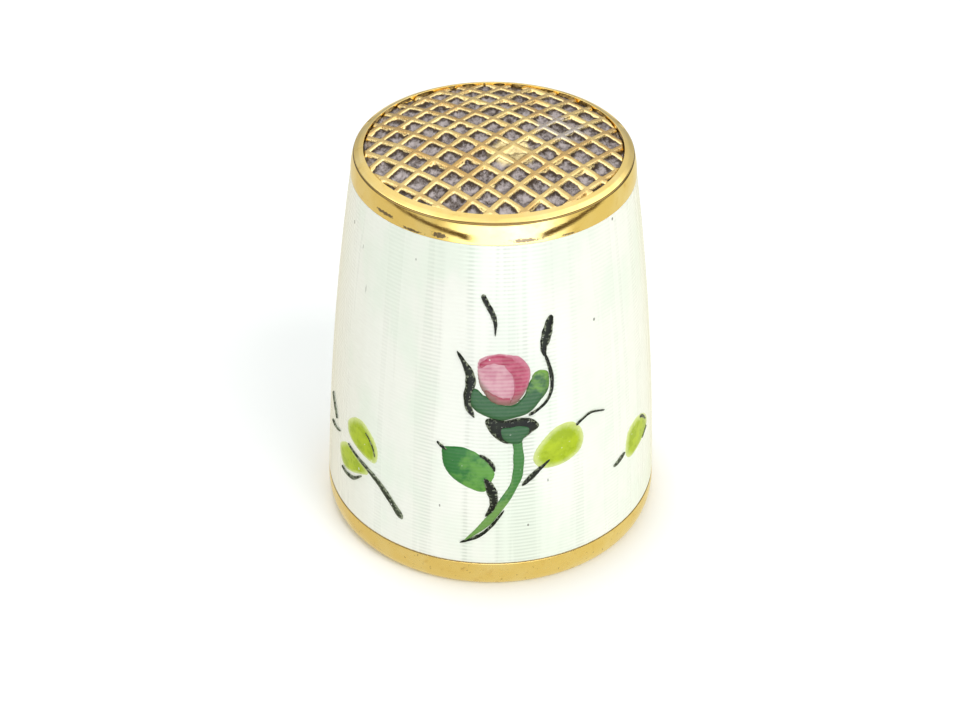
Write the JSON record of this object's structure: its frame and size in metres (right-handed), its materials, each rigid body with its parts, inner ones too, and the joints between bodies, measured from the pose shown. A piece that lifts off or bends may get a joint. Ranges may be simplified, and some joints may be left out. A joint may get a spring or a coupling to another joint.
{
  "type": "thimble",
  "caption": "Tapered enamelled metal thimble with a gold foot rim, a gold collar and a domed waffle-cut crown, painted with rosebuds.",
  "frame": {"origin": "centre of the open foot, on the plane it stands on", "axes": "+Z from the open foot to the crown, along the axis of the cone; -Y is the side with the front rosebud"},
  "size_m": [0.0172, 0.0172, 0.0212],
  "materials": {
    "gilt_wall": "satin, fine-turned inside",
    "gilt_crown": "polished ridges, oxidised matt pits",
    "gilt_collar": "polished, worn",
    "gilt_foot": "satin, worn",
    "silver_solder": "dull",
    "white_enamel": "glossy, milky, with fine engine-turned lines showing through",
    "petal_pink": "glossy enamel paint",
    "deep_rose": "glossy enamel paint",
    "calyx_green": "glossy enamel paint",
    "leaf_green": "glossy enamel paint",
    "lime_green": "glossy enamel paint",
    "outline_dark": "glossy enamel paint, dry-brushed"
  },
  "bodies": {
    "root": {"side_shell": "gilt_wall", "crown_cap": "gilt_crown", "crown_collar": "gilt_collar", "foot_rim": "gilt_foot", "foot_solder": "silver_solder", "collar_solder": "silver_solder", "cap_solder": "silver_solder", "enamel_ground": "white_enamel", "front_rosebud_petals": "petal_pink", "front_rosebud_shading": "deep_rose", "front_rosebud_calyx": "calyx_green", "front_rosebud_stem": "calyx_green", "front_rosebud_dark_leaf": "leaf_green", "front_rosebud_lime_leaf": "lime_green", "front_rosebud_outlines": "outline_dark", "right_rosebud_petals": "petal_pink", "right_rosebud_shading": "deep_rose", "right_rosebud_calyx": "calyx_green", "right_rosebud_stem": "calyx_green", "right_rosebud_dark_leaf": "leaf_green", "right_rosebud_lime_leaf": "lime_green", "right_rosebud_outlines": "outline_dark", "left_rosebud_petals": "petal_pink", "left_rosebud_shading": "deep_rose", "left_rosebud_calyx": "calyx_green", "left_rosebud_stem": "calyx_green", "left_rosebud_dark_leaf": "leaf_green", "left_rosebud_lime_leaf": "lime_green", "left_rosebud_outlines": "outline_dark", "left_sprig_leaves": "lime_green", "left_sprig_stems": "outline_dark", "right_sprig_leaves": "lime_green", "right_sprig_stems": "outline_dark", "back_sprig_leaves": "lime_green", "back_sprig_stems": "outline_dark"}
  },
  "joints": []
}
